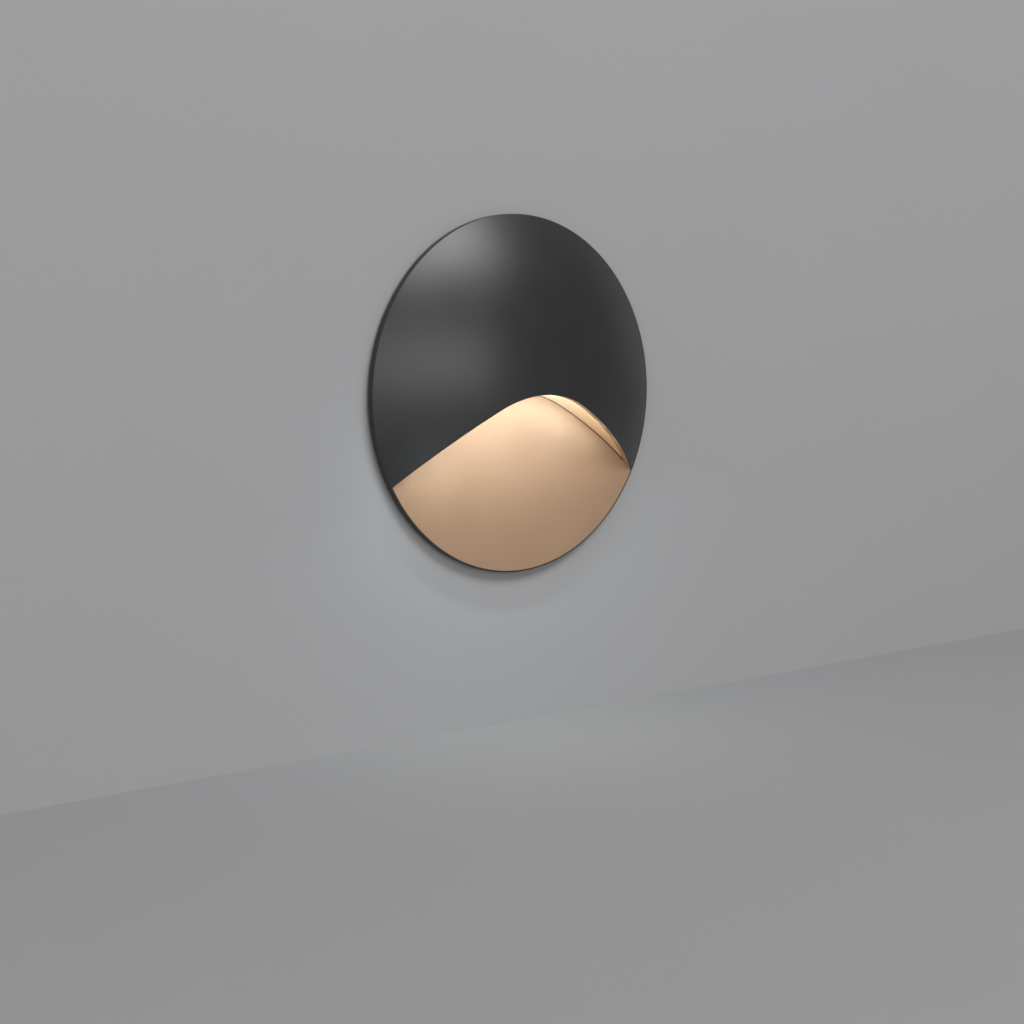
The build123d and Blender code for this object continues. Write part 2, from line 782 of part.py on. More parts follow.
with BuildPart() as clip_arm:
    arm_block(0, arm_length, arm_low, arm_high, arm_half)
    for low, high in ((-arm_half, -knuckle_low), (knuckle_low, arm_half)):
        bar_z(knuckle_radius, low, high)
    block(
        (bracket_face + toe_gap, clip_pivot_depth - toe_drop - toe_width, knuckle_low),
        (pivot_x, clip_pivot_depth - toe_drop, arm_half),
    )
    arm_block(-coil_outer, coil_outer + clip_gap, -coil_outer, coil_outer, knuckle_low, Mode.SUBTRACT)
    bar_z(pin_radius + pin_running_clearance, -arm_half, arm_half, Mode.SUBTRACT)
save_pair(clip_arm.part, "clip_arm")

with BuildPart() as clip_pad:
    arm_block(
        arm_length - tip_length,
        arm_length + tip_wall,
        arm_low - tip_wall,
        arm_high + tip_wall,
        arm_half + tip_wall,
    )
    fillet(clip_pad.edges().filter_by(Axis.Z), radius=tip_wall / 2)
    arm_block(
        arm_length - tip_length,
        arm_length + tip_clearance,
        arm_low - tip_clearance,
        arm_high + tip_clearance,
        arm_half + tip_clearance,
        Mode.SUBTRACT,
    )
save_pair(clip_pad.part, "clip_pad")

with BuildPart() as right_clip_screws:
    for place in clip_screw_places:
        clip_screw_hole(place, 0, Mode.ADD)
        tip = bracket_face - clip_screw_length
        bar_x(clip_screw_radius, tip, bracket_face - bracket_sheet, place)

with BuildPart() as clip_screws:
    add(right_clip_screws.part)
    add(mirror(right_clip_screws.part, about=Plane.YZ))
save(clip_screws.part, "clip_screws")

# Torsion spring: one wire with a leg on the bracket, turns around the pin and a leg behind the arm.
# Each quarter turn is drawn as two arcs that meet smoothly
coil_pitch = 2 * wire_radius + coil_gap
coil_angle = 90 + clip_rest_angle + 360 * coil_turns
coil_height = coil_pitch * coil_angle / 360


def coil_place(turned):
    angle = math.radians(180 - turned)
    return Vector(
        pivot_x + coil_radius * math.cos(angle),
        clip_pivot_depth + coil_radius * math.sin(angle),
        coil_pitch * turned / 360 - coil_height / 2,
    )


def coil_way(turned):
    angle = math.radians(180 - turned)
    rise = coil_pitch / (2 * math.pi * coil_radius)
    return Vector(math.sin(angle), -math.cos(angle), rise).normalized()


def arc_between(start, corner, end):
    # An arc that touches both sides of the corner
    middle = (start + end) * 0.5
    half_chord = (end - start).length / 2
    height = (corner - middle).length
    bulge = half_chord * math.tan(math.atan2(height, half_chord) / 2)
    ThreePointArc(start, middle + (corner - middle) * (bulge / height), end)


def two_arcs(first, last):
    p0, p1 = coil_place(first), coil_place(last)
    t0, t1 = coil_way(first), coil_way(last)
    across = p1 - p0
    square = 2 * (t0.dot(t1) - 1)
    linear = -2 * across.dot(t0 + t1)
    reach = (-linear - math.sqrt(linear**2 - 4 * square * across.dot(across))) / (2 * square)
    corner0, corner1 = p0 + t0 * reach, p1 - t1 * reach
    meeting = (corner0 + corner1) * 0.5
    arc_between(p0, corner0, meeting)
    arc_between(meeting, corner1, p1)


quarter_count = math.ceil(coil_angle / 90)
quarter = coil_angle / quarter_count
leg_start = coil_place(0) - coil_way(0) * leg_length
with BuildPart() as clip_spring:
    with BuildLine() as wire_path:
        Line(leg_start, coil_place(0))
        for index in range(quarter_count):
            two_arcs(index * quarter, (index + 1) * quarter)
        Line(coil_place(coil_angle), coil_place(coil_angle) + coil_way(coil_angle) * leg_length)
    with BuildSketch(Plane(leg_start, z_dir=coil_way(0))):
        Circle(wire_radius)
    sweep(path=wire_path.line)
save_pair(clip_spring.part, "clip_spring")

samples = [coil_place(turned) for turned in range(0, int(coil_angle) + 1, 10)]
least = min(
    (second - first).length
    for i, first in enumerate(samples)
    for second in samples[i + 18 :]
)
print("least gap between the spring's turns:", round(least - 2 * wire_radius, 3), "mm")
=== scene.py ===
import bpy
import bmesh
import json
import math
from mathutils import Matrix, Vector


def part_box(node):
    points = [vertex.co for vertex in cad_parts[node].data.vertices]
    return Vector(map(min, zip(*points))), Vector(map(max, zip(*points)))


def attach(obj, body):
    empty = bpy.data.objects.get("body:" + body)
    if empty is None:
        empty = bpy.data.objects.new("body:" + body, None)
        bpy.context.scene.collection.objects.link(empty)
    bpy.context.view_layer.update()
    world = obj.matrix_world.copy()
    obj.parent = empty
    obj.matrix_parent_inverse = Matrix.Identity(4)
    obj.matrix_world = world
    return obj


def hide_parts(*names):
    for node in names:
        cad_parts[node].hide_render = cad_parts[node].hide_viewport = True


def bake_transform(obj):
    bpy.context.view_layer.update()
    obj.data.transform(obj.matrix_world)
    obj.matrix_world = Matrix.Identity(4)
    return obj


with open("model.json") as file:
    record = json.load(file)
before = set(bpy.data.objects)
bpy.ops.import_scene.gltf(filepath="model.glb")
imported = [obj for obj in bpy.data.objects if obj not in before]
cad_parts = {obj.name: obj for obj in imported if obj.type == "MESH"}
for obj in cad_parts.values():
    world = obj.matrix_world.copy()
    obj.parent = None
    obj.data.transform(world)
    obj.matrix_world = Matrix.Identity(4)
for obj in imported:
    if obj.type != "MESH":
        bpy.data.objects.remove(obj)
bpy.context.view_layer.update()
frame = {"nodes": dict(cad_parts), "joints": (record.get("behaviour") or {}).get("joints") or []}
nodes = frame["nodes"]
mm = 0.001
near = 1e-6  # metres within which two points count as one
print("frame loaded:", len(nodes), "nodes")


# Shader nodes. All but the first of these give back the socket that the next node reads

mixSockets = {"share": 0, "first": 6, "second": 7, "result": 2}  # the Mix node's colour sockets


def addNode(tree, kind, inputs=None, **settings):
    node = tree.nodes.new(kind)
    for key, value in settings.items():
        setattr(node, key, value)
    for key, value in (inputs or {}).items():
        if isinstance(value, bpy.types.NodeSocket):
            tree.links.new(value, node.inputs[key])
        else:
            node.inputs[key].default_value = value
    return node


def objectPlace(tree):
    return addNode(tree, "ShaderNodeTexCoord").outputs["Object"]


def noise(tree, place, scale, detail=2.0, rough=0.5):
    inputs = {"Vector": place, "Scale": scale, "Detail": detail, "Roughness": rough}
    return addNode(tree, "ShaderNodeTexNoise", inputs).outputs["Fac"]


def calculate(tree, operation, *values):
    node = addNode(tree, "ShaderNodeMath", dict(enumerate(values)), operation=operation)
    return node.outputs["Value"]


def measure(tree, operation, *vectors):
    node = addNode(tree, "ShaderNodeVectorMath", dict(enumerate(vectors)), operation=operation)
    return node.outputs["Value"]


def mapRange(tree, value, low, high, start=0.0, end=1.0, **settings):
    inputs = {"Value": value, "From Min": low, "From Max": high, "To Min": start, "To Max": end}
    return addNode(tree, "ShaderNodeMapRange", inputs, **settings).outputs["Result"]


def mixColours(tree, share, first, second):
    inputs = {mixSockets["share"]: share}
    for end, colour in (("first", first), ("second", second)):
        inputs[mixSockets[end]] = colour if isinstance(colour, bpy.types.NodeSocket) else (*colour, 1)
    return addNode(tree, "ShaderNodeMix", inputs, data_type="RGBA").outputs[mixSockets["result"]]


def scaleColour(tree, colour, share):
    inputs = {0: colour, 1: share}
    return addNode(tree, "ShaderNodeVectorMath", inputs, operation="MULTIPLY").outputs["Vector"]


# Shader groups that all finishes share

grainShape = {
    "fine": (2.0, 0.55), "broad": (4.0, 0.6),  # detail and roughness of the two noises
    "cloudSpan": (0.32, 0.68),                 # the part of the broad noise that is spread from 0 to 1
}
edgeShape = {
    "samples": 6, "turned": (0.995, 0.86),     # cosine of the normal's turn where wear starts and is full
    "scuffScale": 700.0, "scuffDetail": 3.0, "scuffFull": 0.75,
}


def startGroup(name, inputs, outputs):
    group = bpy.data.node_groups.new(name, "ShaderNodeTree")
    for label, kind, value in inputs:
        socket = group.interface.new_socket(label, in_out="INPUT", socket_type=kind)
        socket.default_value = value
    for label, kind in outputs:
        group.interface.new_socket(label, in_out="OUTPUT", socket_type=kind)
    return group, group.nodes.new("NodeGroupInput"), group.nodes.new("NodeGroupOutput")


def buildSurfaceGrain(values):
    group, start, end = startGroup(
        "surfaceGrain",
        [
            ("Stretch", "NodeSocketVector", (1, 1, 1)),
            ("Fine", "NodeSocketFloat", 4000),
            ("Broad", "NodeSocketFloat", 90),
        ],
        [("Grain", "NodeSocketFloat"), ("Cloud", "NodeSocketFloat")],
    )
    mapping = {"Vector": objectPlace(group), "Scale": start.outputs["Stretch"]}
    stretched = addNode(group, "ShaderNodeMapping", mapping).outputs["Vector"]
    grain = noise(group, stretched, start.outputs["Fine"], *values["fine"])
    cloud = noise(group, stretched, start.outputs["Broad"], *values["broad"])
    group.links.new(grain, end.inputs["Grain"])
    group.links.new(mapRange(group, cloud, *values["cloudSpan"]), end.inputs["Cloud"])
    return group


def buildSoftEdge(values):
    group, start, end = startGroup(
        "softEdge",
        [("Radius", "NodeSocketFloat", 0.3 * mm), ("Breakup", "NodeSocketFloat", 0.5)],
        [("Normal", "NodeSocketVector"), ("Wear", "NodeSocketFloat")],
    )
    bevel = addNode(group, "ShaderNodeBevel", {"Radius": start.outputs["Radius"]}, samples=values["samples"])
    rounded = bevel.outputs["Normal"]
    surface = addNode(group, "ShaderNodeNewGeometry").outputs["Normal"]
    turned = mapRange(group, measure(group, "DOT_PRODUCT", rounded, surface), *values["turned"])
    scuffs = noise(group, objectPlace(group), values["scuffScale"], values["scuffDetail"])
    patchy = mapRange(group, scuffs, start.outputs["Breakup"], values["scuffFull"])
    group.links.new(rounded, end.inputs["Normal"])
    group.links.new(calculate(group, "MULTIPLY", turned, patchy), end.inputs["Wear"])
    return group


surfaceGrain = buildSurfaceGrain(grainShape)
softEdge = buildSoftEdge(edgeShape)
print("shader groups built")


# Finishes. Colours are linear and sizes are in metres. The cloud moves the colour from low to high,
# cloud and grain together move the roughness, and worn is the colour that shows along edges

finishes = {
    "graphite": {
        "low": (0.0205, 0.0205, 0.021), "high": (0.0235, 0.0235, 0.024), "worn": (0.055, 0.055, 0.056),
        "wear": 0.35, "edge": 0.25 * mm, "rough": (0.30, 0.35), "metallic": 0.0,
        "fine": 5200, "broad": 60, "bump": 0.05,
    },
    # Plate: partly its own sand colour, partly painted warm glow of the chips, whose lamps here are cool
    "sand": {
        "low": (0.348, 0.213, 0.131), "high": (0.363, 0.224, 0.140), "worn": (0.42, 0.35, 0.29),
        "wear": 0.3, "edge": 0.10 * mm, "rough": (0.50, 0.58), "metallic": 0.25,
        "fine": 6000, "broad": 80, "bump": 0.05,
    },
    "cast": {
        "low": (0.50, 0.50, 0.505), "high": (0.575, 0.575, 0.575), "worn": (0.66, 0.66, 0.66),
        "wear": 0.6, "edge": 0.35 * mm, "rough": (0.44, 0.58), "metallic": 1.0,
        "fine": 2600, "broad": 75, "bump": 0.25,
    },
    "sheetAluminium": {
        "low": (0.62, 0.62, 0.63), "high": (0.74, 0.74, 0.745), "worn": (0.85, 0.85, 0.85),
        "wear": 0.5, "edge": 0.15 * mm, "rough": (0.30, 0.45), "metallic": 1.0,
        "fine": 3000, "broad": 120, "bump": 0.08, "stretch": (1, 0.08, 1),
    },
    "steel": {
        "low": (0.52, 0.52, 0.53), "high": (0.60, 0.595, 0.59), "worn": (0.80, 0.79, 0.77),
        "wear": 0.6, "edge": 0.15 * mm, "rough": (0.26, 0.38), "metallic": 1.0,
        "fine": 3800, "broad": 140, "bump": 0.06,
    },
    "springSteel": {
        "low": (0.36, 0.36, 0.375), "high": (0.43, 0.425, 0.42), "worn": (0.62, 0.61, 0.60),
        "wear": 0.5, "edge": 0.10 * mm, "rough": (0.22, 0.32), "metallic": 1.0,
        "fine": 3800, "broad": 150, "bump": 0.05,
    },
    "rubber": {
        "low": (0.016, 0.016, 0.017), "high": (0.028, 0.028, 0.029), "worn": (0.07, 0.07, 0.07),
        "wear": 0.4, "edge": 0.20 * mm, "rough": (0.62, 0.80), "metallic": 0.0,
        "fine": 3000, "broad": 200, "bump": 0.12,
    },
    "pad": {
        "low": (0.055, 0.055, 0.058), "high": (0.080, 0.080, 0.083), "worn": (0.24, 0.24, 0.24),
        "wear": 0.4, "edge": 0.25 * mm, "rough": (0.55, 0.72), "metallic": 0.0,
        "fine": 3200, "broad": 260, "bump": 0.12,
    },
    "nylon": {
        "low": (0.020, 0.020, 0.022), "high": (0.030, 0.030, 0.032), "worn": (0.085, 0.085, 0.088),
        "wear": 0.5, "edge": 0.30 * mm, "rough": (0.40, 0.56), "metallic": 0.0,
        "fine": 3600, "broad": 140, "bump": 0.14,
    },
    "board": {
        "low": (0.010, 0.075, 0.035), "high": (0.016, 0.105, 0.050), "worn": (0.30, 0.26, 0.15),
        "wear": 0.5, "edge": 0.10 * mm, "rough": (0.28, 0.40), "metallic": 0.0,
        "fine": 2400, "broad": 520, "bump": 0.06,
    },
    "component": {
        "low": (0.022, 0.022, 0.023), "high": (0.036, 0.036, 0.037), "worn": (0.09, 0.09, 0.09),
        "wear": 0.4, "edge": 0.20 * mm, "rough": (0.45, 0.60), "metallic": 0.0,
        "fine": 3000, "broad": 300, "bump": 0.10,
    },
    "capacitor": {
        "low": (0.018, 0.030, 0.075), "high": (0.026, 0.042, 0.100), "worn": (0.14, 0.16, 0.22),
        "wear": 0.3, "edge": 0.25 * mm, "rough": (0.24, 0.36), "metallic": 0.0,
        "fine": 2600, "broad": 240, "bump": 0.05,
    },
    "terminal": {
        "low": (0.040, 0.160, 0.075), "high": (0.055, 0.200, 0.095), "worn": (0.22, 0.36, 0.26),
        "wear": 0.3, "edge": 0.25 * mm, "rough": (0.38, 0.52), "metallic": 0.0,
        "fine": 2800, "broad": 220, "bump": 0.08,
    },
    "lead": {
        "low": (0.42, 0.028, 0.020), "high": (0.50, 0.040, 0.028), "worn": (0.60, 0.15, 0.12),
        "wear": 0.2, "edge": 0.10 * mm, "rough": (0.34, 0.48), "metallic": 0.0,
        "fine": 3000, "broad": 420, "bump": 0.06,
    },
}
roughSpan = (0.4, 1.6)      # sums of cloud and grain at the two ends of the roughness
bumpDistance = 0.02 * mm


def makeFinish(name, values):
    material = bpy.data.materials.new(name)
    material.use_nodes = True
    tree = material.node_tree
    shader = tree.nodes["Principled BSDF"]
    shader.inputs["Metallic"].default_value = values["metallic"]
    grain = addNode(
        tree, "ShaderNodeGroup",
        {"Stretch": values.get("stretch", (1, 1, 1)), "Fine": values["fine"], "Broad": values["broad"]},
        node_tree=surfaceGrain,
    )
    edge = addNode(tree, "ShaderNodeGroup", {"Radius": values["edge"]}, node_tree=softEdge)
    base = mixColours(tree, grain.outputs["Cloud"], values["low"], values["high"])
    amount = calculate(tree, "MULTIPLY", edge.outputs["Wear"], values["wear"])
    tree.links.new(mixColours(tree, amount, base, values["worn"]), shader.inputs["Base Color"])
    mixed = calculate(tree, "ADD", grain.outputs["Grain"], grain.outputs["Cloud"])
    tree.links.new(mapRange(tree, mixed, *roughSpan, *values["rough"]), shader.inputs["Roughness"])
    bump = addNode(
        tree, "ShaderNodeBump",
        {"Strength": values["bump"], "Distance": bumpDistance, "Height": grain.outputs["Grain"],
         "Normal": edge.outputs["Normal"]},
    )
    tree.links.new(bump.outputs["Normal"], shader.inputs["Normal"])
    return material


materials = {name: makeFinish(name, values) for name, values in finishes.items()}
print("finishes made:", len(materials))


# Hood: the dark coat ends just under the dome's face, so the cut edge and the inside take the plate's
# colour, which there is partly painted warm glow from the chips

hood = {**finishes["graphite"], "edge": 0.04 * mm, "coat": 0.20 * mm, "fade": 0.08 * mm}
hoodLow, hoodHigh = (Vector(corner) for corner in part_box("hood_shell"))
domeRise = hoodHigh.y - hoodLow.y
domeRadius = (hoodHigh.x**2 + domeRise**2) / (2 * domeRise)
domeCentre = Vector((0, hoodLow.y + domeRadius, 0))


def makeHood(values):
    material = makeFinish("hood", values)
    tree = material.node_tree
    shader = tree.nodes["Principled BSDF"]
    outside = shader.inputs["Base Color"].links[0].from_socket
    away = measure(tree, "DISTANCE", objectPlace(tree), domeCentre)
    coatEnd = domeRadius - values["coat"]
    under = mapRange(tree, away, coatEnd - values["fade"], coatEnd, 1.0, 0.0)
    # the cut edge and the inside get the plate's colour: partly a lining, partly painted warm glow
    colour = mixColours(tree, under, outside, finishes["sand"]["low"])
    tree.links.new(colour, shader.inputs["Base Color"])
    return material


materials["hood"] = makeHood(hood)


# Opal diffuser: brightest by the light chips, behind the hood's front edge, and dimmer along the flanks

opal = {
    "low": (0.44, 0.29, 0.16), "high": (0.47, 0.31, 0.175), "worn": (0.70, 0.57, 0.43),
    "wear": 0.2, "edge": 0.12 * mm, "rough": (0.30, 0.42), "metallic": 0.0,
    "fine": 3000, "broad": 120, "bump": 0.04,
    "warm": (1.0, 0.86, 0.63), "amber": (1.0, 0.58, 0.26),  # the glow at the chips and at the ends
    "strength": 5.5,
    "bright": (1.5 * mm, 7.0 * mm),    # half width of the full glow, and where it has faded
    "flank": (0.120, 0.023),           # glow beside the chips and at the ends, as shares of the strength
    "reach": 26.0 * mm,
    "depth": (-10.0 * mm, -5.0 * mm),  # from the front edge to the back
    "depthShares": (1.0, 0.1),
    "gap": (0.45 * mm, 0.30 * mm),     # the glow ends between these distances in front of the plate
    "joint": (0.90, 0.38, 0.05),       # colour of the opal inside the joint, painted deep orange for the warm light caught in the shadow gap
}
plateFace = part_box("reflector_plate")[0][1]


def makeOpal(values):
    material = makeFinish("opal", values)
    tree = material.node_tree
    shader = tree.nodes["Principled BSDF"]
    axes = addNode(tree, "ShaderNodeSeparateXYZ", {"Vector": objectPlace(tree)})
    aside = calculate(tree, "ABSOLUTE", axes.outputs["X"])
    depth = axes.outputs["Y"]
    full, faded = values["bright"]
    chips = mapRange(tree, aside, full, faded, 1.0, 0.0, interpolation_type="SMOOTHSTEP")
    front = mapRange(tree, depth, *values["depth"], *values["depthShares"])
    core = calculate(tree, "MULTIPLY", chips, front)
    flank = mapRange(tree, aside, faded, values["reach"], *values["flank"])
    gapStart, gapEnd = (plateFace - distance for distance in values["gap"])
    clear = mapRange(tree, depth, gapStart, gapEnd, 1.0, 0.0)
    level = calculate(tree, "MULTIPLY", calculate(tree, "ADD", core, flank), clear)
    outside = shader.inputs["Base Color"].links[0].from_socket
    # inside the joint the opal is painted orange, standing in for warm light in the shadow gap
    tree.links.new(mixColours(tree, clear, values["joint"], outside), shader.inputs["Base Color"])
    outward = mapRange(tree, aside, faded, values["reach"])
    tint = mixColours(tree, outward, values["warm"], values["amber"])
    tree.links.new(scaleColour(tree, tint, level), shader.inputs["Emission Color"])
    shader.inputs["Emission Strength"].default_value = values["strength"]
    return material


materials["opal"] = makeOpal(opal)


# Light chips: yellow and glowing, a little uneven

led = {
    "low": (0.80, 0.62, 0.16), "high": (0.86, 0.70, 0.24), "worn": (0.9, 0.85, 0.6),
    "wear": 0.2, "edge": 0.15 * mm, "rough": (0.35, 0.50), "metallic": 0.0,
    "fine": 4000, "broad": 900, "bump": 0.08,
    "warm": (1.0, 0.735, 0.44), "strength": 4.0, "spotScale": 1500.0, "spotShares": (0.8, 1.0),
}


def makeLed(values):
    material = makeFinish("led", values)
    tree = material.node_tree
    shader = tree.nodes["Principled BSDF"]
    spots = noise(tree, objectPlace(tree), values["spotScale"])
    level = mapRange(tree, spots, 0.0, 1.0, *values["spotShares"])
    tree.links.new(scaleColour(tree, values["warm"], level), shader.inputs["Emission Color"])
    shader.inputs["Emission Strength"].default_value = values["strength"]
    return material


materials["led"] = makeLed(led)

wornBy = {
    "graphite": ["face_disc"],
    "hood": ["hood_shell"],
    "sand": ["reflector_plate"],
    "opal": ["diffuser"],
    "led": ["led_chips"],
    "board": ["led_board", "driver_board"],
    "cast": ["housing"],
    "sheetAluminium": ["led_carrier"],
    "steel": [
        "hood_screws", "carrier_screws", "housing_screws", "rear_cap_screws", "clip_screws",
        "terminal_screws", "right_clip_bracket", "left_clip_bracket", "right_clip_pin", "left_clip_pin",
    ],
    "springSteel": ["right_clip_spring", "left_clip_spring", "right_clip_arm", "left_clip_arm"],
    "rubber": ["wall_gasket", "housing_gasket", "rear_seal", "gland_seal", "gland_washer", "lead_grommet"],
    "pad": ["thermal_pad", "right_clip_pad", "left_clip_pad"],
    "nylon": ["rear_cap", "gland_body", "gland_locknut", "gland_nut"],
    "component": ["driver_choke", "driver_rectifier"],
    "capacitor": ["driver_capacitors"],
    "terminal": ["terminal_block"],
    "lead": ["led_leads"],
}
for finish, names in wornBy.items():
    for name in names:
        data = nodes[name].data
        if not data.materials:
            data.materials.append(None)
        for place in nodes[name].material_slots:
            place.material = materials[finish]
print("finishes put on the nodes")


# Mesh helpers

def wholeOf(faces):
    edges = [edge for face in faces for edge in face.edges]
    return faces + edges + [vert for face in faces for vert in face.verts]


def facesIn(geom):
    return [part for part in geom if isinstance(part, bmesh.types.BMFace)]


def vertsIn(geom):
    return [part for part in geom if isinstance(part, bmesh.types.BMVert)]


def addPiece(name, bm, material):
    mesh = bpy.data.meshes.new(name)
    bm.to_mesh(mesh)
    bm.free()
    mesh.materials.append(material)
    piece = bpy.data.objects.new(name, mesh)
    bpy.context.scene.collection.objects.link(piece)
    return piece


# Clip springs: a wire with one leg on the bracket, turns around the pin and a leg behind the arm.
# Each replaces its CAD node

pivots = {joint["child"]: Vector(joint["pos_m"]) for joint in frame["joints"]}
spring = {
    "coilRadius": 1.65 * mm, "wireRadius": 0.35 * mm, "pitch": 1.15 * mm,
    "turned": 1238, "leg": 5.5 * mm,  # degrees from leg to leg, and each leg's length
    "steps": 150, "sides": 14, "endBevel": 0.12 * mm, "endSegments": 2,
}


def makeSpring(side, values):
    bm = bmesh.new()
    pivot = pivots["right_clip"]  # the left spring is wound here too, and mirrored
    turned = math.radians(values["turned"])
    height = values["pitch"] * turned / (2 * math.pi)
    climb = math.atan2(values["pitch"], 2 * math.pi * values["coilRadius"])
    start = pivot + Vector((-values["coilRadius"], 0, -height / 2))
    way = Vector((0, math.cos(climb), math.sin(climb)))
    square = way.to_track_quat("Z", "X").to_matrix().to_4x4()
    bmesh.ops.create_circle(
        bm, cap_ends=True, segments=values["sides"], radius=values["wireRadius"],
        matrix=Matrix.Translation(start - way * values["leg"]) @ square,
    )
    made = bmesh.ops.extrude_face_region(bm, geom=wholeOf(bm.faces[:]), use_keep_orig=True)
    bmesh.ops.translate(bm, verts=vertsIn(made["geom"]), vec=way * values["leg"])
    coil = bmesh.ops.spin(
        bm, geom=wholeOf(facesIn(made["geom"])), cent=pivot, axis=(0, 0, -1), angle=turned,
        dvec=(0, 0, height / values["steps"]), steps=values["steps"], use_duplicate=False,
    )
    made = bmesh.ops.extrude_face_region(bm, geom=wholeOf(facesIn(coil["geom_last"])))
    endWay = Matrix.Rotation(-turned, 3, "Z") @ way
    bmesh.ops.translate(bm, verts=vertsIn(made["geom"]), vec=endWay * values["leg"])
    tips = {edge for face in bm.faces if len(face.verts) > 4 for edge in face.edges}  # of the two end faces
    bmesh.ops.bevel(
        bm, geom=list(tips), offset=values["endBevel"], offset_type="OFFSET", affect="EDGES",
        segments=values["endSegments"], profile=0.5, material=-1,
    )
    bmesh.ops.remove_doubles(bm, verts=bm.verts, dist=near)
    if side == "left":
        bmesh.ops.scale(bm, vec=(-1, 1, 1), verts=bm.verts)
    bmesh.ops.recalc_face_normals(bm, faces=bm.faces)
    for face in bm.faces:
        face.smooth = len(face.verts) == 4
    piece = addPiece(side + "Spring", bm, materials["springSteel"])
    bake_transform(piece)
    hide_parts(side + "_clip_spring")
    return piece


springs = [makeSpring(side, spring) for side in ("right", "left")]
print("springs wound:", [len(piece.data.polygons) for piece in springs])


# Pan head screws of the flange and the rear cap: a rounded head with a hex socket on a shank.
# Each set replaces its CAD node, whose heads have square edges

panScrew = {
    "headRadius": 2.2 * mm, "headHeight": 1.5 * mm, "headRound": 0.75 * mm, "roundSegments": 6,
    "socketRadius": 1.1 * mm, "socketDepth": 0.8 * mm, "socketSides": 6,
    "shankRadius": 1.2 * mm, "tipBevel": 0.3 * mm, "sides": 36, "sharpAngle": 35,
}


def addPanScrew(bm, values, reach):
    head, top = values["headRadius"], values["headHeight"]
    socket, bottom = values["socketRadius"], values["headHeight"] - values["socketDepth"]
    shank, tip = values["shankRadius"], values["tipBevel"]
    outline = [
        (0, -reach), (shank - tip, -reach), (shank, tip - reach), (shank, 0), (head, 0), (head, top),
        (socket, top), (socket, bottom), (0, bottom),
    ]
    verts = [bm.verts.new((out, 0, up)) for out, up in outline]
    edges = [bm.edges.new(pair) for pair in zip(verts, verts[1:])]
    bmesh.ops.spin(
        bm, geom=verts + edges, cent=(0, 0, 0), axis=(0, 0, 1), angle=2 * math.pi,
        steps=values["sides"], use_merge=True,
    )
    bmesh.ops.remove_doubles(bm, verts=bm.verts, dist=near)

    # The round socket is pulled in to a hexagon
    sector = 2 * math.pi / values["socketSides"]
    for vert in bm.verts:
        if abs(vert.co.xy.length - socket) < near and vert.co.z > bottom - near:
            off = math.atan2(vert.co.y, vert.co.x) % sector - sector / 2
            vert.co.xy *= math.cos(sector / 2) / math.cos(off)
    crown = [
        edge for edge in bm.edges
        if all(vert.co.xy.length > head - near and vert.co.z > top - near for vert in edge.verts)
    ]
    bmesh.ops.bevel(
        bm, geom=crown, offset=values["headRound"], offset_type="OFFSET", affect="EDGES",
        segments=values["roundSegments"], profile=0.5, material=-1,
    )
    bmesh.ops.recalc_face_normals(bm, faces=bm.faces)


def makePanScrews(node, name, values):
    low, high = (Vector(corner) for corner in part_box(node))
    head, top = values["headRadius"], values["headHeight"]
    seat = Vector((high.x - head, high.y - top, high.z - head))  # of the screw at the upper right
    bm = bmesh.new()
    addPanScrew(bm, values, high.y - low.y - top)
    turn = Matrix.Rotation(-math.pi / 2, 4, "X")
    bmesh.ops.transform(bm, verts=bm.verts, matrix=Matrix.Translation(seat) @ turn)
    first = bm.verts[:] + bm.edges[:] + bm.faces[:]
    for right, above in ((-1, 1), (-1, -1), (1, -1)):
        made = bmesh.ops.duplicate(bm, geom=first)
        away = ((right - 1) * seat.x, 0, (above - 1) * seat.z)
        bmesh.ops.translate(bm, verts=vertsIn(made["geom"]), vec=away)
    for face in bm.faces:
        face.smooth = True
    piece = addPiece(name, bm, materials["steel"])
    piece.data.set_sharp_from_angle(angle=math.radians(values["sharpAngle"]))
    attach(piece, "light")
    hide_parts(node)
    return piece


screws = [
    makePanScrews("housing_screws", "flangeScrews", panScrew),
    makePanScrews("rear_cap_screws", "rearCapScrews", panScrew),
]
print("screws made:", [len(piece.data.polygons) for piece in screws])


# Stage: a wall and a floor that are seen from their front sides only.
# The wall is open behind the disc, for the housing

stage = {
    "wallPlace": 0.3 * mm, "wallOpening": 38.5 * mm, "floorHeight": -75 * mm, "half": 6.0,
    "wall": (0.327, 0.327, 0.331), "floor": (0.30, 0.30, 0.304), "rough": 0.85,
    "mottle": (9.0, 3.0), "tones": (0.97, 1.03),  # scale and detail of the mottle, and its ends
}


def makeStageFinish(name, values):
    material = bpy.data.materials.new(name)
    material.use_nodes = True
    tree = material.node_tree
    shader = tree.nodes["Principled BSDF"]
    shader.inputs["Roughness"].default_value = values["rough"]
    place = objectPlace(tree)
    tone = mapRange(tree, noise(tree, place, *values["mottle"]), 0.0, 1.0, *values["tones"])
    tree.links.new(scaleColour(tree, values[name], tone), shader.inputs["Base Color"])
    behind = addNode(tree, "ShaderNodeNewGeometry").outputs["Backfacing"]
    inside = calculate(tree, "LESS_THAN", measure(tree, "LENGTH", place), values["wallOpening"])
    seenThrough = calculate(tree, "MAXIMUM", behind, inside)
    clear = addNode(tree, "ShaderNodeBsdfTransparent")
    choice = addNode(
        tree, "ShaderNodeMixShader", {0: seenThrough, 1: shader.outputs["BSDF"], 2: clear.outputs["BSDF"]},
    )
    tree.links.new(choice.outputs["Shader"], tree.nodes["Material Output"].inputs["Surface"])
    return material


def makeStage(name, corner, across, up):
    bm = bmesh.new()
    shares = ((0, 0), (1, 0), (1, 1), (0, 1))
    bm.faces.new([bm.verts.new(corner + across * a + up * b) for a, b in shares])
    sheet = addPiece(name, bm, makeStageFinish(name, stage))


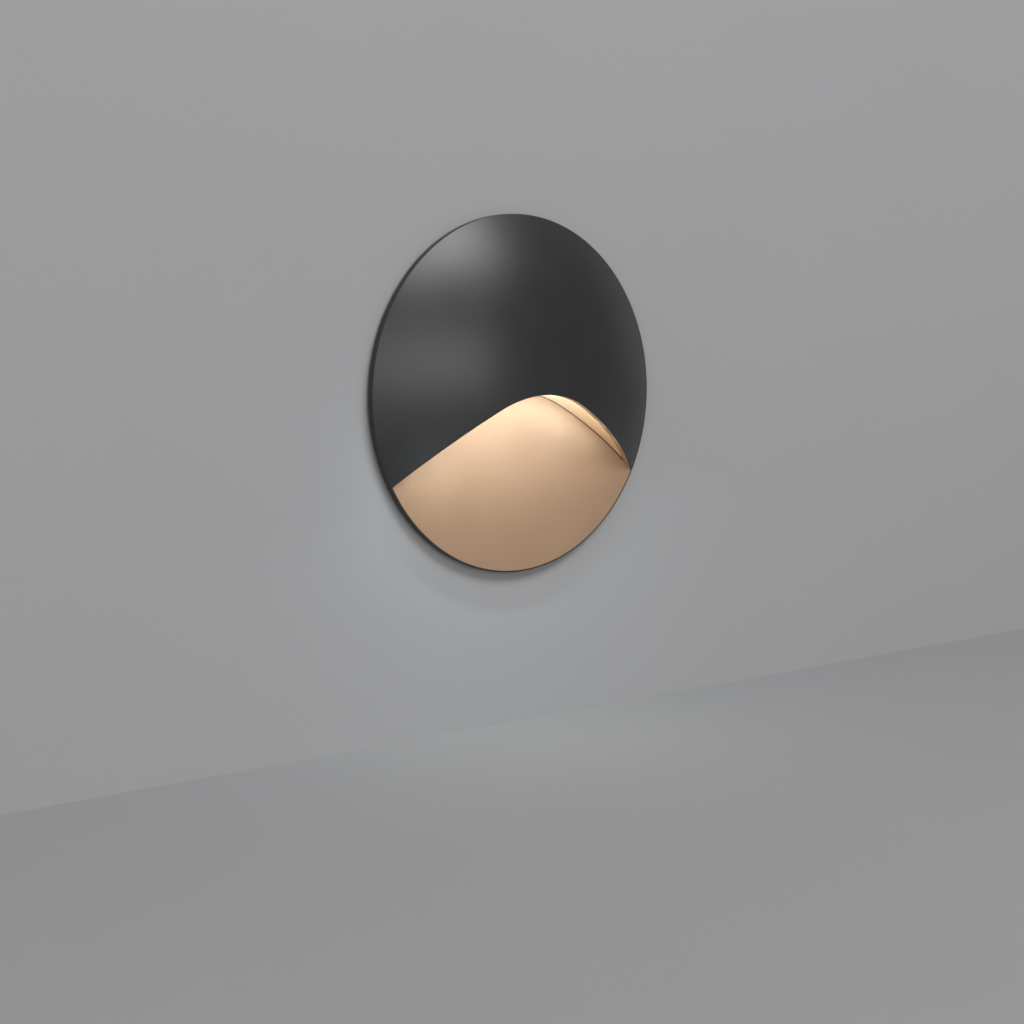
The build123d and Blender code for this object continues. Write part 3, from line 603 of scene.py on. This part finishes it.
half = stage["half"]
width = Vector((2 * half, 0, 0))
floorHeight = stage["floorHeight"]
makeStage("wall", Vector((-half, stage["wallPlace"], floorHeight)), width, Vector((0, 0, 2 * half)))
makeStage("floor", Vector((-half, -half, floorHeight)), width, Vector((0, 2 * half, 0)))
print("stage set")


# Light: soft panels aimed at the object. Bearings are degrees to the right of the front,
# heights are degrees above the level, and distances and sizes are in metres

panels = {
    "frontHigh": {
        "bearing": 10, "height": 47, "distance": 1.2, "size": (0.80, 0.42), "power": 9.8,
        "colour": (0.98, 0.99, 1.0),
    },
    "frontWide": {
        "bearing": -3.5, "height": 9, "distance": 1.6, "size": (1.32, 0.5), "power": 6.0,
        "colour": (1.0, 1.0, 1.0),
    },
    "left": {
        "bearing": -64, "height": 24, "distance": 1.6, "size": (1.2, 1.0), "power": 7.3,
        "colour": (1.0, 1.0, 1.0),
    },
    "back": {
        "bearing": 155, "height": 35, "distance": 1.2, "size": (1.4, 1.2), "power": 5.6,
        "colour": (1.0, 1.0, 1.0),
    },
}


def addLamp(name, values, place, turn):
    data = bpy.data.lights.new(name, "AREA")
    data.shape = "RECTANGLE"
    data.size, data.size_y = values["size"]
    data.energy = values["power"]
    data.color = values["colour"]
    lamp = bpy.data.objects.new(name, data)
    lamp.location = place
    lamp.rotation_euler = turn
    bpy.context.scene.collection.objects.link(lamp)
    return lamp


for name, values in panels.items():
    bearing, height = math.radians(values["bearing"]), math.radians(values["height"])
    flat = math.cos(height)
    way = Vector((math.sin(bearing) * flat, -math.cos(bearing) * flat, math.sin(height)))
    addLamp(name, values, way * values["distance"], way.to_track_quat("Z", "Y").to_euler())


# The chips' own light: a row of lamps under the hood's arched edge, leaning back towards the plate,
# and weak soft lamps in front of the plate for what the hood's inside throws back

arch = {  # the edge's three arcs, as the hood has them
    "apexHeight": 0.2 * mm, "apexRadius": 25.7 * mm, "halfAngle": 27.2, "flankRadius": 106.8 * mm,
}
throw = {
    "power": 0.01135, "colour": (0.83, 0.975, 1.0), "size": (5 * mm, 1 * mm),
    "behind": 0.3 * mm, "drop": 0.5 * mm,             # from the dome's face and from the edge
    "shares": (0.09, 0.36, 0.71, 0.93, 0.84, 0.58, 0.48, 0.55, 0.36, 0.07),
    "reach": (-30 * mm, 24 * mm), "lean": (4.6, 35),  # from the left end to the right end
}
spills = [
    {
        "place": (-26 * mm, -15 * mm, -17 * mm), "size": (14 * mm, 7 * mm), "turn": 0,
        "power": 0.0010, "colour": (0.83, 0.975, 1.0),
    },
    {
        "place": (3 * mm, -15 * mm, -17 * mm), "size": (14 * mm, 7 * mm), "turn": 0,
        "power": 0.00055, "colour": (0.83, 0.975, 1.0),
    },
    {
        "place": (25.5 * mm, -8 * mm, -14 * mm), "size": (16 * mm, 3 * mm), "turn": 33,
        "power": 0.00014, "colour": (1.0, 0.90, 0.55),
    },
]


def archAt(x):
    turn = math.radians(arch["halfAngle"])
    centre = Vector((0, arch["apexHeight"] - arch["apexRadius"]))
    radius = arch["apexRadius"]
    if abs(x) > radius * math.sin(turn):
        centre -= (arch["flankRadius"] - radius) * Vector((math.sin(turn), math.cos(turn)))
        radius = arch["flankRadius"]
    slope = math.asin((abs(x) - centre.x) / radius)
    return centre.y + radius * math.cos(slope), math.copysign(slope, x)


def between(ends, along):
    return (1 - along) * ends[0] + along * ends[1]


lastStep = len(throw["shares"]) - 1
for step, share in enumerate(throw["shares"]):
    x = between(throw["reach"], step / lastStep)
    lean = math.radians(between(throw["lean"], step / lastStep))
    height, slope = archAt(x)
    z = height - throw["drop"]
    y = domeCentre.y - math.sqrt(domeRadius**2 - x**2 - z**2) + throw["behind"]
    power = throw["power"] * share / sum(throw["shares"])
    lamp = addLamp(f"throw{step}", {**throw, "power": power}, (x, y, z), (lean, slope, 0))
    lamp.visible_camera = False
for step, values in enumerate(spills):
    towardPlate = (math.radians(90), math.radians(values["turn"]), 0)
    lamp = addLamp(f"spill{step}", values, values["place"], towardPlate)
    lamp.visible_camera = False
    lamp.visible_glossy = False


# Soft light from all around, dimmer from the front than from behind

surround = {"front": 0.12, "back": 0.62, "span": (-0.25, 0.1)}
world = bpy.data.worlds.new("surround")
world.use_nodes = True
tree = world.node_tree
toward = addNode(tree, "ShaderNodeTexCoord").outputs["Generated"]
axes = addNode(tree, "ShaderNodeSeparateXYZ", {"Vector": toward})
shade = mapRange(tree, axes.outputs["Y"], *surround["span"], surround["front"], surround["back"])
tree.links.new(shade, tree.nodes["Background"].inputs["Color"])
bpy.context.scene.world = world
bpy.context.scene.view_settings.view_transform = "Standard"
print("light set")


# Camera: place in metres, angles in degrees, lens and sensor in millimetres

camera = {
    "place": (-0.26932, -0.32204, 0.01824), "yaw": 39.888, "pitch": 6.098,
    "lens": 65.61, "sensor": 36, "clipStart": 0.01,
}
cameraData = bpy.data.cameras.new("camera")
cameraData.lens = camera["lens"]
cameraData.sensor_width = camera["sensor"]
cameraData.clip_start = camera["clipStart"]
cameraObject = bpy.data.objects.new("camera", cameraData)
cameraObject.location = camera["place"]
cameraObject.rotation_euler = (math.radians(90 - camera["pitch"]), 0, -math.radians(camera["yaw"]))
bpy.context.scene.collection.objects.link(cameraObject)
bpy.context.scene.camera = cameraObject
print("camera placed")
